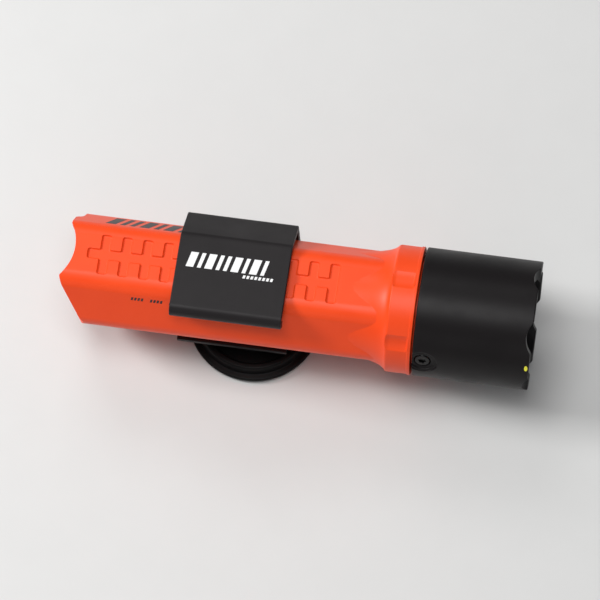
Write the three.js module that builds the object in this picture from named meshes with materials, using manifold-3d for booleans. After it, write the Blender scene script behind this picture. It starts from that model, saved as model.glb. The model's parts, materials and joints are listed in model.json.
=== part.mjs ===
// A straight firefighter's flashlight snapped in its helmet clip, in millimetres, +Z up.
// The origin is the middle of the adhesive face that sticks to the helmet, and the beam runs along +X.
import * as THREE from 'three';
import { mergeVertices } from 'three/addons/utils/BufferGeometryUtils.js';
import Module from 'manifold-3d';

const wasm = await Module();
wasm.setup();

// ---- Driving dimensions -------------------------------------------------------------------------
const GAP = 0.3;                    // room left between touching pieces
const AXIS_Z = 32.8;                // height of the light's axis over the helmet
const TAIL_X = -64;                 // where the tip of the tail lies along X
const LENGTH = 162.5;               // tail tip to bezel rim

// Body tube: a hexagon with round corners. Angle 0 points to +Z, and 90 degrees to +Y.
const BODY_FLAT = 17.8;             // axis to a flat
const BODY_CORNER = 19.5;           // axis to a rounded corner
const BAY_FLAT = 14.9;              // the battery bay inside it
const BAY_CORNER = 16.5;

// Along the light, measured from the tail tip
const TAIL_FLOOR = [13, 15.5];      // web that the tail button comes through
const FLARE_START = 97;
const RING_START = 113.2;
const RING_END = 122;
const NECK_END = 133.5;
const HEAD_START = 122.7;

// Collar ring, neck and head
const RING_R = 22.05;
const FLUTE = { count: 6, first: 9, width: 7.5, depth: 0.9, from: 110, to: 120.8 };
const NECK_ROOT_R = 18;
const NECK_CREST_R = 18.6;
const NECK_BORE_R = 15.9;
const THREAD = { from: 123.2, to: 129.2, pitch: 2 };
const HEAD_R = 22.15;
const HEAD_BORE_R = 18.9;
const FRONT_LIP = 157.5;            // rear face of the lip that holds the lens
const FRONT_OPENING_R = 17.9;
const BEZEL_NOTCH = { count: 6, first: 30, radius: 8.6, depth: 2 };
const SEAL_GROOVE = { at: 130.4, width: 1.7, r: 19.75 };

// Lens, reflector and the parts behind them, [from, to] along the light and radius
const LENS = { from: 154, to: 156.3, r: 18.5 };
const LENS_GASKET = { from: 156.5, to: 157.3, bore: 17.9, r: 18.6 };
const REFLECTOR = { vertex: [128.9, 3.6], rim: [153.7, 18], skirt: 140, skirtIn: 17.4, skirtR: 18.6,
  outerEnd: 150, wall: 1.3 };
const REFLECTOR_RING = { from: 136.6, to: 139.7, bore: 16.4, r: 18.6 };
const LED = { from: 128.9, baseR: 2.6, dome: [[129.3, 1.7], [130.1, 1.5], [130.7, 0.9], [130.9, 0]] };
const LED_BOARD = { from: 127.4, to: 128.6, r: 9 };
const HEAT_SINK = { from: 122.2, to: 127.1, r: 15.5 };
const DRIVER = { from: 98, to: 121.9, r: 14 };
const FRONT_SPRING = { from: 92.9, to: 97.7, startR: 2.6, endR: 5, turns: 2.5 };
const O_RING = { ringR: 18.9, cordR: 0.72 };

// Lock screw, square to the head's wall
const LOCK = { x: 126.2, angle: -70, faceR: 5.2, faceAt: 21.35, headR: 2.6, seatR: 2.95, seatAt: 19.6,
  holeR: 1.8, shank: [19.15, 20.2], shankR: 1.5, top: 21.1, socketR: 1.25, socketAt: 20.5,
  seal: [19.65, 20.05] };

// Grip combs: a strip with teeth on both sides, sunk in three of the flats
const COMB = { angles: [0, 120, 240], from: 8.3, to: 94.9, stem: 1.85, reach: 7.1, depth: 0.5,
  firstTooth: 12.5, pitch: 7.17, tooth: 3.45, teeth: 12 };

// Tail crown: each side notch is an outline of [height from the axis, depth from the tip]
const THUMB_NOTCH = [[-18, 2.6], [-1.2, 8.4], [0, 8.7], [1.2, 8.2], [16.9, 0]];
const SHALLOW_NOTCH = { radius: 16, middle: 1.5, depth: 3.85 };
const LOW_CREST = { from: 8.8, depth: 1.2 };
const LANYARD_NOTCH = [[-9.2, 1.1], [-8, 3], [-5, 3.6], [5, 3.6], [8, 3], [9.2, 1.1]];

// Battery pack: three AA cells in a triangle
const CELL = { r: 7.25, length: 50.5, nub: 1.4, nubR: 2.75, offset: 8.545, angles: [30, 150, 270] };
const CARRIER = { from: 32, to: 92, plate: 2, flat: 14.6, corner: 16.2, strut: 1.9, strutAt: 14 };
const STRUT_ANGLES = [90, 210, 330];
const CONTACT = { inset: 2.4, off: 0.3, thick: 0.4 };
const TERMINAL_R = 2.9;
const STRIP = { from: 30, to: 99, half: 3, off: 0.2, thick: 0.3, room: 0.3 };

// Tail switch
const BUTTON = { tip: 8.4, r: 6.2, sideFrom: 11.8, flange: [15.8, 17], flangeR: 8.6, holeR: 6.6 };
const PLUNGER = { plate: [17.3, 17.9], plateR: 3, end: 22.7, r: 1.5 };
const SWITCH_SPRING = { from: 18.2, to: 24.7, r: 4.6, turns: 4 };
const SWITCH_CUP = { from: 16.9, to: 27, r: 12.5, bore: 9.2, floor: 25, holeR: 2 };
const SWITCH_GASKET = [15.8, 16.6];
const SWITCH_RING = { from: 27.3, to: 29.5, bore: 7.4, r: 14.5, holesAt: 11, holeR: 1.2 };
const TAIL_CONTACT = { from: 27.3, to: 28, r: 6.8 };
const TAIL_SPRING = { from: 28.3, to: 31.7, startR: 5, endR: 2.6, turns: 2.5 };

// Clip: a strip bent round the light, open towards -Y, with its width's middle beside the pivot
const CLIP = { x: -5.5, width: 38.5, wall: 2.1, front: 19.15, back: -19.2, side: 21.25, edge: -15.4 };
const CLIP_BEND = { corner: 2, chamferAt: 8.5, chamferTo: 10, lip: 2.2, lipTurn: 215, lipEnd: 2.8 };

// Helmet base
const DISC = { r: 23.4, bottom: 1.3, flange: 3, rimIn: 18, rimOut: 20.6, rimTop: 6.5, dish: 4,
  turretR: 12.5, turretTop: 11.6, boreR: 4.1, boreFloor: 3.6 };
const PAD = { r: 22.2, thick: 1 };
const PIVOT = { headR: 4.4, shankR: 2.2, from: 4.6, slot: [0.9, 4.8], slotDepth: 0.8 };
const INSERT = { from: 4.2, to: 11.3, bore: 2.5, r: 3.8 };
const WASHER = { from: 11.9, to: 12.25, bore: 3, r: 8.5 };
const SINK = { holeR: 2.5, r: 4.8, land: 0.35 };

const ROUND = 48;                   // facets round the head, the collar and the base
const MID = 28;                     // facets round the pieces inside
const SMALL = 16;
const WIRE = 0.35;                  // radius of every spring's wire

// ---- Materials ----------------------------------------------------------------------------------
const FINISH = {
  orange: { color: 0xf0582c, roughness: 0.45, metalness: 0 },
  black: { color: 0x262425, roughness: 0.5, metalness: 0 },
  clip: { color: 0x2d2b2c, roughness: 0.55, metalness: 0 },
  rubber: { color: 0x181818, roughness: 0.8, metalness: 0 },
  foam: { color: 0x2b2b2b, roughness: 0.95, metalness: 0 },
  steel: { color: 0xb9bcc0, roughness: 0.35, metalness: 1 },
  brass: { color: 0xc8a24a, roughness: 0.35, metalness: 1 },
  aluminium: { color: 0xc4c7ca, roughness: 0.4, metalness: 1 },
  mirror: { color: 0xe6e8ea, roughness: 0.08, metalness: 1 },
  glass: { color: 0xe8f0f2, roughness: 0.05, metalness: 0 },
  white: { color: 0xe9e9e4, roughness: 0.5, metalness: 0 },
  yellow: { color: 0xe8d23a, roughness: 0.4, metalness: 0 },
  cell: { color: 0x3a4b5c, roughness: 0.4, metalness: 0.3 },
};

// ---- Shape helpers ------------------------------------------------------------------------------
const radians = THREE.MathUtils.degToRad;
// A shape drawn in (Y, Z) and extruded becomes a prism along X.
const SECTION_TO_X = new THREE.Matrix4().set(0, 0, 1, 0, 1, 0, 0, 0, 0, 1, 0, 0, 0, 0, 0, 1);
// A shape drawn in (X, Z) and extruded becomes a prism along -Y.
const SIDE_TO_Y = new THREE.Matrix4().makeRotationX(Math.PI / 2);
// A profile turned about its own Y axis becomes a round along X.
const LATHE_TO_X = new THREE.Matrix4().set(0, 1, 0, 0, 0, 0, 1, 0, 1, 0, 0, 0, 0, 0, 0, 1);

function positionsOnly(geometry) {
  const plain = geometry.index ? geometry.toNonIndexed() : geometry.clone();
  plain.deleteAttribute('normal');
  plain.deleteAttribute('uv');
  return mergeVertices(plain, 1e-4);
}

function signedVolume(positions, triangles) {
  const [a, b, c] = [new THREE.Vector3(), new THREE.Vector3(), new THREE.Vector3()];
  let volume = 0;
  for (let i = 0; i < triangles.length; i += 3) {
    a.fromBufferAttribute(positions, triangles[i]);
    b.fromBufferAttribute(positions, triangles[i + 1]);
    c.fromBufferAttribute(positions, triangles[i + 2]);
    volume += a.dot(b.cross(c));
  }
  return volume;
}

// A three.js geometry as a solid, with its faces turned to point out
function solid(geometry) {
  const merged = positionsOnly(geometry);
  const triangles = [];
  const index = merged.index.array;
  for (let i = 0; i < index.length; i += 3) {
    const [a, b, c] = [index[i], index[i + 1], index[i + 2]];
    if (a !== b && b !== c && c !== a) triangles.push(a, b, c);
  }
  if (signedVolume(merged.attributes.position, triangles) < 0) triangles.reverse();
  const mesh = new wasm.Mesh({
    numProp: 3,
    vertProperties: new Float32Array(merged.attributes.position.array),
    triVerts: new Uint32Array(triangles),
  });
  return new wasm.Manifold(mesh);
}

function geometryOf(manifold) {
  const mesh = manifold.getMesh();
  const geometry = new THREE.BufferGeometry();
  geometry.setAttribute('position', new THREE.BufferAttribute(new Float32Array(mesh.vertProperties), 3));
  geometry.setIndex(new THREE.BufferAttribute(new Uint32Array(mesh.triVerts), 1));
  return geometry;
}

const cutAll = (base, cutters) => cutters.reduce((rest, cutter) => rest.subtract(cutter), base);

// A round about the X axis from [x, radius] points, closed on itself or through the axis
function turned(profile, segments) {
  const points = profile.map(([x, r]) => new THREE.Vector2(r, x));
  const onAxis = profile[0][1] === 0 && profile[profile.length - 1][1] === 0;
  if (!onAxis) points.push(points[0].clone());
  return solid(new THREE.LatheGeometry(points, segments).applyMatrix4(LATHE_TO_X));
}

const disc = (from, to, r, segments = MID) => turned([[from, 0], [from, r], [to, r], [to, 0]], segments);

const tube = (from, to, inner, outer, segments = MID) => (
  turned([[from, inner], [from, outer], [to, outer], [to, inner]], segments));

// The same about the Z axis
function turnedUp(profile, segments) {
  const points = profile.map(([z, r]) => new THREE.Vector2(r, z));
  const onAxis = profile[0][1] === 0 && profile[profile.length - 1][1] === 0;
  if (!onAxis) points.push(points[0].clone());
  return solid(new THREE.LatheGeometry(points, segments).rotateX(Math.PI / 2));
}

function block(x0, x1, y0, y1, z0, z1) {
  const box = new THREE.BoxGeometry(x1 - x0, y1 - y0, z1 - z0);
  return solid(box.translate((x0 + x1) / 2, (y0 + y1) / 2, (z0 + z1) / 2));
}

function prismAlongX(shape, from, to, curveSegments = 3) {
  const options = { depth: to - from, bevelEnabled: false, curveSegments };
  const prism = new THREE.ExtrudeGeometry(shape, options).applyMatrix4(SECTION_TO_X);
  return solid(prism.translate(from, 0, 0));
}

// Hexagon with round corners, drawn in (Y, Z) with a flat at the top
function hexShape(flat, corner) {
  const half = Math.cos(radians(30));
  const centre = (corner - flat) / (1 - half);
  const round = corner - centre;
  const shape = new THREE.Shape();
  for (let k = 0; k < 6; k += 1) {
    const angle = radians(60 * k);
    shape.absarc(centre * Math.cos(angle), centre * Math.sin(angle), round,
      angle - radians(30), angle + radians(30), false);
  }
  return shape;
}

// Turns a solid made for angle 0 (+Z) to another angle about the light's axis
const turnTo = (manifold, angle) => manifold.rotate([-angle, 0, 0]);

function pathTube(curve, radius, steps) {
  const section = new THREE.Shape();
  section.absarc(0, 0, radius, 0, 2 * Math.PI, false);
  const options = { steps, curveSegments: 3, extrudePath: curve };
  return solid(new THREE.ExtrudeGeometry(section, options));
}

class Helix extends THREE.Curve {
  constructor(from, to, startR, endR, turns) {
    super();
    Object.assign(this, { from, to, startR, endR, turns });
  }

  getPoint(t, target = new THREE.Vector3()) {
    const angle = 2 * Math.PI * this.turns * t;
    const r = this.startR + (this.endR - this.startR) * t;
    return target.set(this.from + (this.to - this.from) * t, r * Math.cos(angle), r * Math.sin(angle));
  }
}

const spring = (from, to, startR, endR, turns) => (
  pathTube(new Helix(from + WIRE, to - WIRE, startR, endR, turns), WIRE, Math.round(turns * 10)));

// ---- The light ----------------------------------------------------------------------------------
const root = new THREE.Group();
const light = new THREE.Group();
light.position.set(TAIL_X, 0, AXIS_Z);
root.add(light);

function addMesh(parent, name, manifold, finish) {
  const mesh = new THREE.Mesh(geometryOf(manifold), new THREE.MeshStandardMaterial(FINISH[finish]));
  mesh.name = name;
  parent.add(mesh);
  return mesh;
}

// Strip with teeth on both sides, as a shallow cutter for the top flat
function combCutter() {
  const { from, to, stem, reach, depth, firstTooth, pitch, tooth, teeth } = COMB;
  const shape = new THREE.Shape();
  shape.moveTo(from, -stem);
  for (let k = 0; k < teeth; k += 1) {
    const start = firstTooth + k * pitch;
    shape.lineTo(start, -stem);
    shape.lineTo(start, -reach);
    shape.lineTo(start + tooth, -reach);
    shape.lineTo(start + tooth, -stem);
  }
  shape.lineTo(to, -stem);
  shape.lineTo(to, stem);
  for (let k = teeth - 1; k >= 0; k -= 1) {
    const start = firstTooth + k * pitch;
    shape.lineTo(start + tooth, stem);
    shape.lineTo(start + tooth, reach);
    shape.lineTo(start, reach);
    shape.lineTo(start, stem);
  }
  shape.lineTo(from, stem);
  const options = { depth: 2 * depth, bevelEnabled: false };
  const comb = new THREE.ExtrudeGeometry(shape, options);
  return solid(comb.translate(0, 0, BODY_FLAT - depth));
}

// The outline of a notch in the tail rim, as [height, depth], made a cutter along Y
function notchAlongY(outline, y0, y1) {
  const shape = new THREE.Shape();
  shape.moveTo(-2, outline[0][0]);
  for (const [z, depth] of outline) shape.lineTo(depth, z);
  shape.lineTo(-2, outline[outline.length - 1][0]);
  const options = { depth: y1 - y0, bevelEnabled: false };
  return solid(new THREE.ExtrudeGeometry(shape, options).applyMatrix4(SIDE_TO_Y).translate(0, y1, 0));
}

// Shallow arc across the top or bottom flat, drawn in (X, Y)
function shallowNotch(up) {
  const { radius, middle, depth } = SHALLOW_NOTCH;
  const round = new THREE.CylinderGeometry(radius, radius, BODY_CORNER, ROUND).rotateX(Math.PI / 2);
  return solid(round.translate(depth - radius, middle, up * (BODY_CORNER / 2 + 4)));
}

function tailCrownCutters() {
  return [
    notchAlongY(THUMB_NOTCH, -BODY_CORNER - 1, -6),
    notchAlongY(LANYARD_NOTCH, 6, BODY_CORNER + 1),
    shallowNotch(1),
    shallowNotch(-1),
    block(-2, LOW_CREST.depth, LOW_CREST.from, BODY_CORNER + 1, -BODY_CORNER, BODY_CORNER),
  ];
}

function flutes() {
  const { count, first, width, depth, from, to } = FLUTE;
  const r = (width * width / 4 + depth * depth) / (2 * depth);
  const nose = 4;
  const profile = [[from, 0]];
  for (let k = 1; k <= 5; k += 1) {
    const a = radians(18 * k);
    profile.push([from + nose * (1 - Math.cos(a)), r * Math.sin(a)]);
  }
  profile.push([to, r], [to, 0]);
  const cutter = turned(profile, ROUND).translate([0, 0, RING_R - depth + r]);
  return Array.from({ length: count }, (_, k) => turnTo(cutter, first + 60 * k));
}

function bodyOuter() {
  const flare = new THREE.QuadraticBezierCurve(
    new THREE.Vector2(FLARE_START, BODY_FLAT - 0.2),
    new THREE.Vector2(109.5, BODY_FLAT + 0.8),
    new THREE.Vector2(RING_START, RING_R - 0.3),
  );
  const profile = [[FLARE_START, 0]];
  for (const p of flare.getPoints(7)) profile.push([p.x, p.y]);
  profile.push([RING_START + 0.5, RING_R], [RING_END - 1.2, RING_R], [RING_END - 1, RING_R + 0.1]);
  profile.push([RING_END - 0.1, RING_R + 0.1], [RING_END, RING_R - 0.2], [RING_END, NECK_ROOT_R]);
  const { from, to, pitch } = THREAD;
  for (let x = from; x < to - pitch / 2; x += pitch) {
    profile.push([x, NECK_ROOT_R], [x + 0.5 * pitch, NECK_CREST_R], [x + pitch, NECK_ROOT_R]);
  }
  profile.push([NECK_END - 0.5, NECK_ROOT_R], [NECK_END, NECK_ROOT_R - 0.5], [NECK_END, 0]);
  const repeats = (p, i) => i > 0 && p[0] === profile[i - 1][0] && p[1] === profile[i - 1][1];
  const unique = profile.filter((p, i) => !repeats(p, i));
  const hex = prismAlongX(hexShape(BODY_FLAT, BODY_CORNER), 0, RING_START + 1);
  return hex.add(turned(unique, ROUND));
}

function bodyShell() {
  const bay = prismAlongX(hexShape(BAY_FLAT, BAY_CORNER), TAIL_FLOOR[1], 100);
  const recess = prismAlongX(hexShape(BAY_FLAT, BAY_CORNER), -2, TAIL_FLOOR[0]);
  const bore = disc(99, NECK_END + 1, NECK_BORE_R, ROUND);
  const buttonHole = disc(TAIL_FLOOR[0] - 1, TAIL_FLOOR[1] + 1, BUTTON.holeR);
  const slotHalf = STRIP.half + STRIP.room;
  const slotBottom = -BAY_FLAT - STRIP.off - STRIP.thick - STRIP.room;
  const stripSlot = block(STRIP.from - 1, STRIP.to + 1.5, -slotHalf, slotHalf, slotBottom, 1 - BAY_FLAT);
  const combs = COMB.angles.map((angle) => turnTo(combCutter(), angle));
  const cutters = [bay, recess, bore, buttonHole, stripSlot, ...combs, ...tailCrownCutters(), ...flutes()];
  return cutAll(bodyOuter(), cutters);
}

function switchParts() {
  const { tip, r, sideFrom, flange, flangeR } = BUTTON;
  const cap = turned([[tip, 0], [tip + 0.15, 2.2], [tip + 0.7, 4.1], [tip + 1.8, 5.5], [sideFrom, r],
    [flange[0], r], [flange[0], flangeR], [flange[1], flangeR], [flange[1], 0]], MID);
  addMesh(light, 'switch_button', cap, 'rubber');
  const { plate, plateR, end } = PLUNGER;
  const plunger = turned([[plate[0], 0], [plate[0], plateR], [plate[1], plateR], [plate[1], PLUNGER.r],
    [end - GAP, PLUNGER.r], [end, PLUNGER.r - GAP], [end, 0]], SMALL);
  addMesh(light, 'switch_plunger', plunger, 'brass');
  const coil = SWITCH_SPRING;
  addMesh(light, 'switch_spring', spring(coil.from, coil.to, coil.r, coil.r, coil.turns), 'steel');
  addMesh(light, 'switch_gasket', tube(...SWITCH_GASKET, SWITCH_CUP.bore, SWITCH_CUP.r), 'rubber');
  const { from, to, bore, floor, holeR } = SWITCH_CUP;
  const cup = disc(from, to, SWITCH_CUP.r)
    .subtract(disc(from - 1, floor, bore))
    .subtract(disc(floor - 1, to + 1, holeR, SMALL));
  addMesh(light, 'switch_housing', cup, 'white');
  const { holesAt } = SWITCH_RING;
  const spanner = disc(SWITCH_RING.from - 1, SWITCH_RING.to + 1, SWITCH_RING.holeR, 12);
  const ring = tube(SWITCH_RING.from, SWITCH_RING.to, SWITCH_RING.bore, SWITCH_RING.r)
    .subtract(spanner.translate([0, holesAt, 0]))
    .subtract(spanner.translate([0, -holesAt, 0]));
  addMesh(light, 'switch_ring', ring, 'black');
  addMesh(light, 'tail_contact', disc(TAIL_CONTACT.from, TAIL_CONTACT.to, TAIL_CONTACT.r, SMALL), 'brass');
  const tail = TAIL_SPRING;
  addMesh(light, 'tail_spring', spring(tail.from, tail.to, tail.startR, tail.endR, tail.turns), 'steel');
}

// A plate with the bay's outline and a little room round it
const carrierPlate = (from, to, inset = 0) => (
  prismAlongX(hexShape(CARRIER.flat - inset, CARRIER.corner - inset), from, to));

function batteryCarrier() {
  const { from, to, plate, strut, strutAt } = CARRIER;
  let frame = carrierPlate(from, from + plate).add(carrierPlate(to - plate, to));
  for (const angle of STRUT_ANGLES) {
    const bar = disc(from + plate / 2, to - plate / 2, strut, 12).translate([0, 0, strutAt]);
    frame = frame.add(turnTo(bar, angle));
  }
  return frame.subtract(disc(to - plate - 1, to + 1, TERMINAL_R + GAP, SMALL));
}

// A cell and its spring, made between the contact plates and turned end for end for the middle one
function cellParts(index, angle) {
  const start = CARRIER.from + CARRIER.plate + 1;
  const end = CARRIER.to - CARRIER.plate - 1.1;
  const cellStart = end - CELL.length;
  const middle = (start + end) / 2;
  const { r, nub, nubR } = CELL;
  const cell = turned([[cellStart, 0], [cellStart, r - 0.6], [cellStart + 0.5, r], [end - nub - 0.6, r],
    [end - nub, r - 0.8], [end - nub, nubR], [end - 0.2, nubR], [end, nubR - 0.3], [end, 0]], 28);
  const coil = spring(start, cellStart - GAP, 4.6, 2.4, 2);
  const flip = index === 1;
  const place = (manifold) => {
    const way = flip ? manifold.translate([-middle, 0, 0]).rotate([0, 0, 180]).translate([middle, 0, 0])
      : manifold;
    return turnTo(way.translate([0, 0, CELL.offset]), angle);
  };
  addMesh(light, `cell_${index + 1}`, place(cell), 'cell');
  addMesh(light, `cell_spring_${index + 1}`, place(coil), 'steel');
}

function batteryParts() {
  addMesh(light, 'battery_carrier', batteryCarrier(), 'black');
  const { from, to, plate } = CARRIER;
  const { inset, off, thick } = CONTACT;
  const rearContact = carrierPlate(from + plate + off, from + plate + off + thick, inset);
  const frontContact = carrierPlate(to - plate - off - thick, to - plate - off, inset);
  const strutRoom = STRUT_ANGLES.map((angle) => (
    turnTo(disc(from, to, CARRIER.strut + GAP, 12).translate([0, 0, CARRIER.strutAt]), angle)));
  addMesh(light, 'carrier_rear_contact', cutAll(rearContact, strutRoom), 'brass');
  addMesh(light, 'carrier_front_contact', cutAll(frontContact, strutRoom), 'brass');
  addMesh(light, 'front_terminal', disc(to - plate, to + 0.6, TERMINAL_R, SMALL), 'brass');
  CELL.angles.forEach((angle, index) => cellParts(index, angle));
  const stripTop = -BAY_FLAT - STRIP.off;
  addMesh(light, 'return_strip', block(STRIP.from, STRIP.to, -STRIP.half, STRIP.half,
    stripTop - STRIP.thick, stripTop), 'brass');
  const front = FRONT_SPRING;
  const coil = spring(front.from, front.to, front.startR, front.endR, front.turns);
  addMesh(light, 'front_spring', coil, 'steel');
}

// A solid made along X from x = 0, stood on the light's axis and pointing outwards at the lock screw
const atLock = (manifold) => (
  turnTo(manifold.rotate([0, -90, 0]).translate([LOCK.x, 0, 0]), LOCK.angle));

function headShell() {
  const { at, width, r } = SEAL_GROOVE;
  const profile = [[HEAD_START, HEAD_BORE_R], [HEAD_START, HEAD_R - 0.5], [HEAD_START + 0.5, HEAD_R],
    [LENGTH - 0.4, HEAD_R], [LENGTH, HEAD_R - 0.4], [LENGTH, FRONT_OPENING_R + 0.5],
    [LENGTH - 0.5, FRONT_OPENING_R], [FRONT_LIP, FRONT_OPENING_R], [FRONT_LIP, HEAD_BORE_R],
    [at + width / 2, HEAD_BORE_R], [at + width / 2, r], [at - width / 2, r], [at - width / 2, HEAD_BORE_R]];
  const { count, first, radius, depth } = BEZEL_NOTCH;
  const scallop = solid(new THREE.CylinderGeometry(radius, radius, 12, ROUND).rotateX(Math.PI / 2)
    .translate(LENGTH - depth + radius, 0, HEAD_R - 1));
  const scallops = Array.from({ length: count }, (_, k) => turnTo(scallop, first + 60 * k));
  const screwRoom = [
    disc(LOCK.faceAt, HEAD_R + 3, LOCK.faceR, MID),
    disc(LOCK.seatAt, HEAD_R + 3, LOCK.seatR, SMALL),
    disc(HEAD_BORE_R - 2, HEAD_R, LOCK.holeR, SMALL),
  ].map(atLock);
  return cutAll(turned(profile, ROUND), [...scallops, ...screwRoom]);
}

function lockScrew() {
  const { shank, shankR, headR, top, socketR, socketAt } = LOCK;
  const edge = 0.25;
  const screw = turned([[shank[0], 0], [shank[0], shankR - edge], [shank[0] + edge, shankR],
    [shank[1], shankR], [shank[1], headR], [top - edge, headR], [top, headR - edge], [top, 0]], MID);
  return atLock(screw.subtract(disc(socketAt, top + 1, socketR, 6)));
}

function reflector() {
  const { vertex, rim, skirt, skirtIn, skirtR, outerEnd, wall } = REFLECTOR;
  const slope = (rim[1] ** 2 - vertex[1] ** 2) / (rim[0] - vertex[0]);
  const bowl = (x) => Math.sqrt(vertex[1] ** 2 + slope * (x - vertex[0]));
  const steps = 6;
  const places = (end) => Array.from({ length: steps + 1 }, (_, k) => (
    vertex[0] + (end - vertex[0]) * (k / steps) ** 1.6));
  const inside = places(rim[0]).map((x) => [x, bowl(x)]);
  const outside = places(outerEnd).reverse().map((x) => [x, Math.min(bowl(x) + wall, skirtIn)]);
  return turned([...inside, [rim[0], skirtR], [skirt, skirtR], [skirt, skirtIn], ...outside], MID);
}

function headParts() {
  addMesh(light, 'head_shell', headShell(), 'black');
  const ring = new THREE.TorusGeometry(O_RING.ringR, O_RING.cordR, 6, 40).rotateY(Math.PI / 2);
  addMesh(light, 'head_o_ring', solid(ring.translate(SEAL_GROOVE.at, 0, 0)), 'rubber');
  addMesh(light, 'lock_screw', lockScrew(), 'steel');
  addMesh(light, 'lock_screw_seal', atLock(tube(...LOCK.seal, LOCK.holeR, LOCK.headR, SMALL)), 'rubber');
  addMesh(light, 'lens', disc(LENS.from, LENS.to, LENS.r, ROUND), 'glass');
  const { dome, baseR } = LED;
  const emitter = turned([[LED.from, 0], [LED.from, baseR], [dome[0][0], baseR], ...dome], SMALL);
  addMesh(light, 'led_emitter', emitter, 'yellow');
  addMesh(light, 'reflector', reflector(), 'mirror');
  for (const [name, { bore, r, from, to }, finish] of [
    ['lens_gasket', LENS_GASKET, 'rubber'], ['reflector_ring', REFLECTOR_RING, 'black']]) {
    addMesh(light, name, tube(from, to, bore, r), finish);
  }
  for (const [name, { r, from, to }, finish] of [['led_board', LED_BOARD, 'white'],
    ['heat_sink', HEAT_SINK, 'aluminium'], ['driver_housing', DRIVER, 'black']]) {
    addMesh(light, name, disc(from, to, r), finish);
  }
}

// ---- The clip and its base ----------------------------------------------------------------------
// A line of points with an even wall on both sides
function stripShape(points, wall) {
  const left = [];
  const right = [];
  points.forEach((p, i) => {
    const before = points[Math.max(i - 1, 0)];
    const after = points[Math.min(i + 1, points.length - 1)];
    const inward = new THREE.Vector2().subVectors(p, before).normalize();
    const onward = new THREE.Vector2().subVectors(after, p).normalize();
    const along = new THREE.Vector2().addVectors(inward, onward).normalize();
    const lean = i > 0 && i < points.length - 1 ? along.dot(onward) : 1;
    const side = new THREE.Vector2(-along.y, along.x).multiplyScalar(wall / 2 / lean);
    left.push(p.clone().add(side));
    right.push(p.clone().sub(side));
  });
  return new THREE.Shape([...left, ...right.reverse()]);
}

function clipCentreLine() {
  const { front, back, side, edge } = CLIP;
  const { corner, chamferAt, chamferTo, lip, lipTurn, lipEnd } = CLIP_BEND;
  const path = new THREE.Path();
  path.moveTo(edge, back);
  path.lineTo(side - corner, back);
  path.absarc(side - corner, back + corner, corner, -Math.PI / 2, 0, false);
  path.lineTo(side, chamferAt - 0.4);
  path.quadraticCurveTo(side, chamferAt + 0.4, side - 0.6, chamferAt + 1);
  path.lineTo(chamferTo + 0.6, front - 0.6);
  path.quadraticCurveTo(chamferTo, front, chamferTo - 0.8, front);
  path.lineTo(edge + 0.5, front);
  path.absarc(edge + 0.5, front - lip, lip, Math.PI / 2, radians(lipTurn), false);
  const end = path.currentPoint;
  const onward = radians(lipTurn + 90);
  path.lineTo(end.x + lipEnd * Math.cos(onward), end.y + lipEnd * Math.sin(onward));
  return path.getPoints(5).filter((p, i, all) => i === 0 || p.distanceTo(all[i - 1]) > 0.01);
}

function clipParts() {
  const clip = new THREE.Group();
  clip.position.set(CLIP.x, 0, AXIS_Z);
  root.add(clip);
  const half = CLIP.width / 2;
  const strip = prismAlongX(stripShape(clipCentreLine(), CLIP.wall), -half, half);
  const inside = CLIP.back + CLIP.wall / 2;
  const outside = CLIP.back - CLIP.wall / 2;
  const hole = turnedUp([[outside - 1, 0], [outside - 1, SINK.holeR], [outside + SINK.land, SINK.holeR],
    [inside, SINK.r], [inside + 1, SINK.r], [inside + 1, 0]], MID);
  addMesh(clip, 'clip', strip.subtract(hole.translate([-CLIP.x, 0, 0])), 'clip');
}

function pivotParts() {
  const { headR, shankR, from, slot, slotDepth } = PIVOT;
  const headTop = AXIS_Z + CLIP.back + CLIP.wall / 2 - 0.1;
  const headBottom = AXIS_Z + CLIP.back - CLIP.wall / 2 + 0.5;
  const screwBody = turnedUp([[from, 0], [from, shankR - GAP], [from + GAP, shankR], [headBottom, shankR],
    [headTop, headR], [headTop, 0]], MID);
  const [width, length] = slot;
  const drive = block(-width / 2, width / 2, -length / 2, length / 2, headTop - slotDepth, headTop + 1);
  const screw = screwBody.subtract(drive).subtract(drive.rotate([0, 0, 90]));
  addMesh(root, 'pivot_screw', screw, 'steel');
  for (const [name, { bore, r, from: low, to: high }, finish] of [
    ['pivot_washer', WASHER, 'steel'], ['pivot_insert', INSERT, 'brass']]) {
    addMesh(root, name, turnedUp([[low, bore], [low, r], [high, r], [high, bore]], MID), finish);
  }
}

function baseParts() {
  const { r, bottom, flange, rimIn, rimOut, rimTop, dish, turretR, turretTop, boreR, boreFloor } = DISC;
  const edge = 0.4;
  const base = turnedUp([[bottom, 0], [bottom, r - edge], [bottom + edge, r], [flange - edge, r],
    [flange, r - edge], [flange, rimOut + 0.6], [flange + 0.6, rimOut], [rimTop - 0.5, rimOut - edge],
    [rimTop, rimOut - 0.9], [rimTop, rimIn + 0.5], [rimTop - 0.5, rimIn], [dish, rimIn - edge],
    [dish, turretR + 0.8], [dish + 0.8, turretR], [turretTop - 0.5, turretR - 0.6],
    [turretTop, turretR - 1.1], [turretTop, 0]], ROUND);
  const mouth = turretTop + 1;
  const bore = turnedUp([[boreFloor, 0], [boreFloor, boreR], [mouth, boreR], [mouth, 0]], MID);
  addMesh(root, 'base_disc', base.subtract(bore), 'black');
  addMesh(root, 'adhesive_pad', turnedUp([[0, 0], [0, PAD.r], [PAD.thick, PAD.r], [PAD.thick, 0]], ROUND),
    'foam');
}

addMesh(light, 'body_shell', bodyShell(), 'orange');
switchParts();
batteryParts();
headParts();
clipParts();
pivotParts();
baseParts();

export default root;
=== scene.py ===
"""The looks of a firefighter's flashlight in its helmet clip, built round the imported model.

Lengths are in millimetres in this script and become metres where a mesh is made. The light's own
measures run along its axis from the tip of the tail, as in the model that it stands on.
"""
import json
import math

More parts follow.
